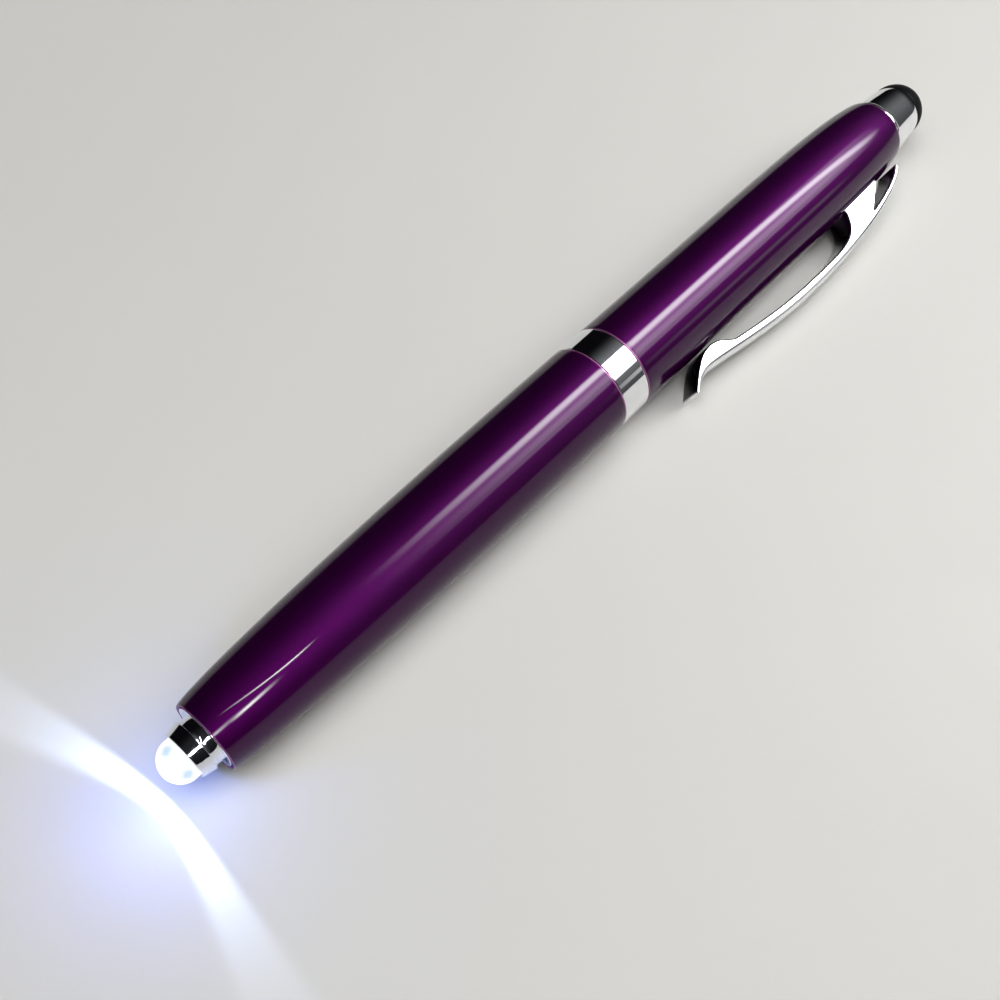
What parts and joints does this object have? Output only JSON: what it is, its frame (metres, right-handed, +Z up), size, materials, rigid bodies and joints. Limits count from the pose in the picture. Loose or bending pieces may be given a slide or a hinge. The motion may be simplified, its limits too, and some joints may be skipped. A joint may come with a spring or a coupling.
{
  "type": "light-up ballpoint pen",
  "caption": "Capped ballpoint pen with a lamp at one end of its lacquered barrel and a rubber stylus dome and sprung clip on its pull-off cap.",
  "frame": {"origin": "middle of the pen's length and depth, on the surface that it lies on", "axes": "+X along the pen from the lamp to the stylus, -Y towards the clip, +Z up"},
  "size_m": [0.1396, 0.0162, 0.012],
  "materials": {
    "lacquer": "deep purple metallic lacquer under a clear gloss coat",
    "chrome": "mirror chrome plate",
    "brass": "bare turned brass",
    "steel": "bright steel or nickel plate",
    "dark_plastic": "moulded black plastic",
    "white_plastic": "moulded natural white plastic",
    "led_resin": "clear cast resin, lit",
    "board": "green laminate",
    "ink": "blue ink",
    "rubber": "soft conductive silicone rubber"
  },
  "bodies": {
    "barrel": {"barrel_shell": "lacquer", "centre_band": "chrome", "section_insert": "white_plastic", "grip_section": "dark_plastic", "nose_cone": "chrome", "refill_tube": "steel", "refill_ink": "ink", "refill_nib": "brass", "lamp_collar": "chrome", "battery_sleeve": "white_plastic", "battery_1": "steel", "battery_2": "steel", "battery_3": "steel", "battery_spring": "steel", "earth_plug": "brass"},
    "ball": {"writing_ball": "steel"},
    "lamp_module": {"led_body": "led_resin", "led_leads": "steel", "contact_board": "board", "contact_pin": "brass"},
    "lamp_head": {"lamp_ring": "chrome", "led_washer": "steel"},
    "cap": {"cap_shell": "lacquer", "cap_liner": "dark_plastic", "clip_foot": "chrome", "clip_retainer": "brass", "stylus_ferrule": "chrome", "stylus_core": "white_plastic", "stylus_tip": "rubber"},
    "clip": {"clip_arm": "chrome"}
  },
  "joints": [
    {"name": "cap_pull", "type": "slide", "parent": "barrel", "child": "cap", "axis": [1, 0, 0], "range_m": [0, 0.05]},
    {"name": "clip_flex", "type": "hinge", "parent": "cap", "child": "clip", "pos_m": [0.0321, -0.00677, 0.00223], "axis": [0, -0.3909, 0.9205], "range_deg": [0, 4], "stiffness_Nm_per_rad": 0.4},
    {"name": "lamp_feed", "type": "slide", "parent": "barrel", "child": "lamp_module", "axis": [-1, 0, 0], "range_m": [0, 0.0005]},
    {"name": "lamp_twist", "type": "hinge", "parent": "lamp_module", "child": "lamp_head", "pos_m": [-0.06595, 0.00211, 0.006], "axis": [-1, 0, 0], "range_deg": [0, 180]},
    {"name": "ball_roll", "type": "hinge", "parent": "barrel", "child": "ball", "pos_m": [0.0459, 0.00211, 0.006], "axis": [0, 1, 0], "continuous": true}
  ],
  "couplings": [
    {"joint": "lamp_twist", "follows": "lamp_feed", "rad_per_m": 6283}
  ]
}
